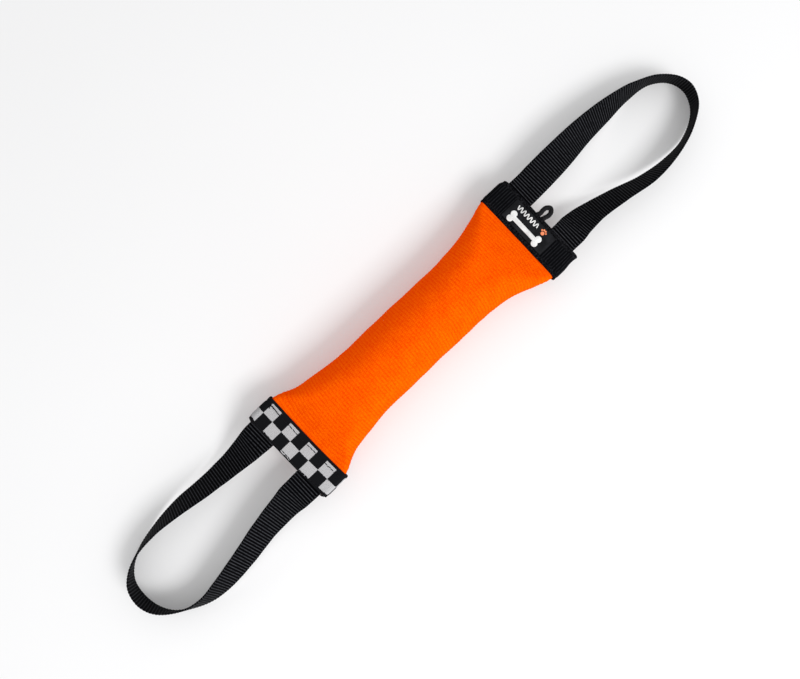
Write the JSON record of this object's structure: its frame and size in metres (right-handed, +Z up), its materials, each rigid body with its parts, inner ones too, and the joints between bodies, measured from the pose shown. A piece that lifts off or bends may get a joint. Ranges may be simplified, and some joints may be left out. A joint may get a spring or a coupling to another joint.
{
  "type": "training bumper",
  "caption": "Stuffed woven hose dog training bumper, sewn flat at both ends in webbing bindings, with a webbing loop handle at each end and a small cord throw loop.",
  "frame": {"origin": "on the ground under the middle of the body, on the hose's flat resting strip", "axes": "+X along the bumper towards the label end, +Y across it, +Z up"},
  "size_m": [0.6233, 0.0888, 0.0512],
  "materials": {
    "hose_fabric": "matte woven polyester with fine ribs round the girth",
    "liner_rubber": "smooth matte",
    "foam": "closed-cell foam, matte",
    "black_webbing": "ribbed nylon webbing, soft sheen",
    "checkered_webbing": "black and light grey jacquard webbing, matte",
    "label_fabric": "smooth fine woven label",
    "cord": "braided cord, matte",
    "thread": "bonded nylon thread"
  },
  "bodies": {
    "bumper": {"hose_jacket": "hose_fabric", "hose_liner": "liner_rubber", "foam_core": "foam", "label_end_binding": "black_webbing", "checkered_end_binding": "checkered_webbing", "woven_label": "label_fabric", "label_handle_tail_left": "black_webbing", "label_handle_tail_right": "black_webbing", "checkered_handle_tail_left": "black_webbing", "checkered_handle_tail_right": "black_webbing", "throw_loop_tail_left": "cord", "throw_loop_tail_right": "cord", "label_inner_seam_front": "thread", "label_inner_seam_back": "thread", "label_outer_seam_front": "thread", "label_outer_seam_back": "thread", "checkered_inner_seam_front": "thread", "checkered_inner_seam_back": "thread", "checkered_outer_seam_front": "thread", "checkered_outer_seam_back": "thread"},
    "label_handle": {"label_end_handle": "black_webbing"},
    "checkered_handle": {"checkered_end_handle": "black_webbing"},
    "cord_loop": {"throw_loop": "cord"}
  },
  "joints": [
    {"name": "label_handle_fold", "type": "hinge", "parent": "bumper", "child": "label_handle", "pos_m": [0.148, 0, 0.02558], "axis": [0, -1, 0], "range_deg": [-112, 130]},
    {"name": "checkered_handle_fold", "type": "hinge", "parent": "bumper", "child": "checkered_handle", "pos_m": [-0.148, 0, 0.02558], "axis": [0, 1, 0], "range_deg": [-108, 130]},
    {"name": "throw_loop_fold", "type": "hinge", "parent": "bumper", "child": "cord_loop", "pos_m": [0.1435, 0, 0.02558], "axis": [0, -1, 0], "range_deg": [-90, 90]}
  ]
}
